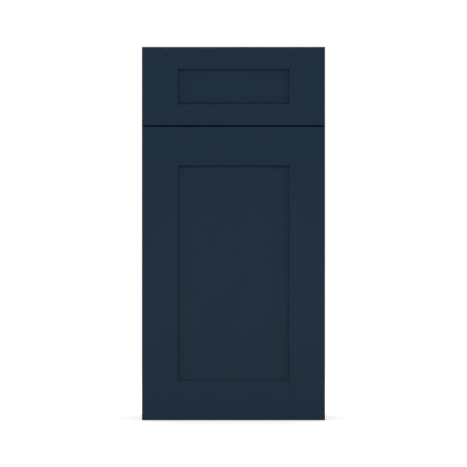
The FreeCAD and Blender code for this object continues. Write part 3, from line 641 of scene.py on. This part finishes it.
# ---- Studio ----------------------------------------------------------------------------------
FLOOR_DROP = 0.0005  # how far the floor lies below the cabinet
FLOOR_COLOUR = (0.86, 0.86, 0.86, 1)
LIFT_REACH = (0.7, 3.5)  # distances at which the floor has the near lift and the far one
SIGHT_LIMIT = 100.0

# Soft lamps: name, its power setting, the point it is placed from and how far along X, Y and Z,
# the point that it faces and how far above it, width, height
LAMPS = (
    ("key_lamp", "key_power", "front", (0, -4.4, 3.1), "middle", 0, 2.4, 0.95),
    ("low_lamp", "low_power", "foot", (0, -1.5, 0.12), "foot", 0.05, 1.2, 0.2),
    ("back_lamp", "back_power", "back_top", (0, 2.3, 2.2), "middle", 0, 2.0, 1.4),
    ("left_lamp", "side_power", "front", (-2.6, -2.0, 0.6), "middle", 0, 1.2, 1.6),
    ("right_lamp", "side_power", "front", (2.6, -2.0, 0.6), "middle", 0, 1.2, 1.6),
)


def link_object(name, data):
    """A new object in the scene."""
    made = bpy.data.objects.new(name, data)
    bpy.context.scene.collection.objects.link(made)
    return made


def seen_directly(tree):
    """1 for camera, glossy and transmission rays, 0 for the rest."""
    path = tree.nodes.new("ShaderNodeLightPath")
    total = path.outputs["Is Camera Ray"]
    for name in ("Is Glossy Ray", "Is Transmission Ray"):
        both = tree.nodes.new("ShaderNodeMath")
        both.operation = "MAXIMUM"
        tree.links.new(total, both.inputs[0])
        tree.links.new(path.outputs[name], both.inputs[1])
        total = both.outputs[0]
    return total


def white_room(strength):
    """A world that looks white and lights the cabinet from all round."""
    world = bpy.data.worlds.new("Studio")
    world.use_nodes = True
    tree = world.node_tree
    lit, shown = tree.nodes["Background"], tree.nodes.new("ShaderNodeBackground")
    lit.inputs["Color"].default_value = shown.inputs["Color"].default_value = (1, 1, 1, 1)
    lit.inputs["Strength"].default_value = strength
    mix = tree.nodes.new("ShaderNodeMixShader")
    tree.links.new(seen_directly(tree), mix.inputs[0])
    tree.links.new(lit.outputs[0], mix.inputs[1])
    tree.links.new(shown.outputs[0], mix.inputs[2])
    tree.links.new(mix.outputs[0], tree.nodes["World Output"].inputs[0])
    bpy.context.scene.world = world


def pale_floor(size, near_lift, far_lift):
    """A pale floor that keeps the cabinet's shadow and is lifted to white for the eye."""
    below = CAD_BOX[0].z - FLOOR_DROP
    half = size / 2
    mesh = bpy.data.meshes.new("studio_floor")
    corners = [(-half, -half, below), (half, -half, below), (half, half, below), (-half, half, below)]
    mesh.from_pydata(corners, [], [(0, 1, 2, 3)])
    floor = link_object("studio_floor", mesh)
    material = bpy.data.materials.new("Pale floor")
    material.use_nodes = True
    tree = material.node_tree
    shader = tree.nodes["Principled BSDF"]
    shader.inputs["Base Color"].default_value = FLOOR_COLOUR
    shader.inputs["Roughness"].default_value = 1.0
    shader.inputs["Specular IOR Level"].default_value = 0.0
    glow, total = tree.nodes.new("ShaderNodeEmission"), tree.nodes.new("ShaderNodeAddShader")
    place, reach = tree.nodes.new("ShaderNodeTexCoord"), tree.nodes.new("ShaderNodeVectorMath")
    reach.operation = "LENGTH"
    tree.links.new(place.outputs["Object"], reach.inputs[0])
    lift = tree.nodes.new("ShaderNodeMapRange")
    for socket, value in zip(lift.inputs[1:5], (*LIFT_REACH, near_lift, far_lift)):
        socket.default_value = value
    tree.links.new(reach.outputs["Value"], lift.inputs[0])
    level = tree.nodes.new("ShaderNodeMath")
    level.operation = "MULTIPLY"
    tree.links.new(seen_directly(tree), level.inputs[0])
    tree.links.new(lift.outputs[0], level.inputs[1])
    tree.links.new(level.outputs[0], glow.inputs["Strength"])
    tree.links.new(shader.outputs[0], total.inputs[0])
    tree.links.new(glow.outputs[0], total.inputs[1])
    tree.links.new(total.outputs[0], tree.nodes["Material Output"].inputs[0])
    mesh.materials.append(material)


def soft_lamp(name, place, target, width, height, power):
    """A rectangular soft lamp that faces a target."""
    lamp = bpy.data.lights.new(name, "AREA")
    lamp.shape, lamp.size, lamp.size_y, lamp.energy = "RECTANGLE", width, height, power
    made = link_object(name, lamp)
    made.location = place
    made.rotation_euler = (target - place).to_track_quat("-Z", "Y").to_euler()


def front_camera(stage):
    """A long lens at mid-height, square to the fronts."""
    low, high = CAD_BOX
    camera = bpy.data.cameras.new("camera")
    camera.lens, camera.sensor_width, camera.clip_end = stage.lens, stage.sensor, SIGHT_LIMIT
    made = link_object("camera", camera)
    span = (high.z - low.z) / stage.fill
    distance = span * stage.lens / stage.sensor
    frame_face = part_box("face_frame_top_rail")[0].y
    made.location = ((low.x + high.x) / 2, frame_face - distance, (low.z + high.z) / 2)
    made.rotation_euler = (math.pi / 2, 0, 0)
    bpy.context.scene.camera = made


class VANITY_OT_set_stage(bpy.types.Operator):
    """Set up the camera, lamps, room and floor"""
    bl_idname = "vanity.set_stage"
    bl_label = "Set the Stage"

    def execute(self, context):
        stage = context.scene.vanity_stage
        low, high = CAD_BOX
        middle = (low + high) / 2
        context.scene.view_settings.view_transform = "Standard"
        front_camera(stage)
        white_room(stage.room_light)
        pale_floor(stage.floor_size, stage.shadow_lift, stage.floor_lift)
        points = {
            "middle": middle,
            "front": Vector((middle.x, low.y, middle.z)),
            "foot": Vector((middle.x, low.y, low.z)),
            "back_top": Vector((middle.x, high.y, high.z)),
        }
        for name, power, start, reach, aim, rise, width, height in LAMPS:
            place = points[start] + Vector(reach)
            target = points[aim] + Vector((0, 0, rise))
            soft_lamp(name, place, target, width, height, getattr(stage, power))
        return {"FINISHED"}


OPERATORS = (
    VANITY_OT_paint_door,
    VANITY_OT_paint_drawer_front,
    VANITY_OT_paint_face_frame,
    VANITY_OT_finish_side_panels,
    VANITY_OT_finish_carcass,
    VANITY_OT_finish_shelf,
    VANITY_OT_finish_drawer_box,
    VANITY_OT_finish_dowels,
    VANITY_OT_plate_slides,
    VANITY_OT_plate_hinges,
    VANITY_OT_plate_fixings,
    VANITY_OT_cast_bumpers,
    VANITY_OT_set_stage,
)


class VANITY_PT_panel(bpy.types.Panel):
    """The cabinet's finishes and studio, in order"""
    bl_idname = "VANITY_PT_panel"
    bl_label = "Vanity Cabinet"
    bl_space_type = "VIEW_3D"
    bl_region_type = "UI"
    bl_category = "Vanity"

    def draw(self, context):
        for name, group in GROUPS.items():
            box = self.layout.box()
            box.label(text=group.__doc__)
            for prop in group.__annotations__:
                box.prop(getattr(context.scene, name), prop)
        for operator in OPERATORS:
            self.layout.operator(operator.bl_idname)


def register():
    """Adds the settings, operators and panel to Blender."""
    for name, group in GROUPS.items():
        bpy.utils.register_class(group)
        setattr(bpy.types.Scene, name, PointerProperty(type=group))
    for kind in OPERATORS + (VANITY_PT_panel,):
        bpy.utils.register_class(kind)


def unregister():
    """Takes them away again."""
    for kind in reversed(OPERATORS + (VANITY_PT_panel,)):
        bpy.utils.unregister_class(kind)
    for name, group in GROUPS.items():
        delattr(bpy.types.Scene, name)
        bpy.utils.unregister_class(group)


def main():
    """Finishes every piece and sets the stage."""
    register()
    for operator in OPERATORS:
        group, call = operator.bl_idname.split(".")
        getattr(getattr(bpy.ops, group), call)()


if __name__ == "__main__":
    main()
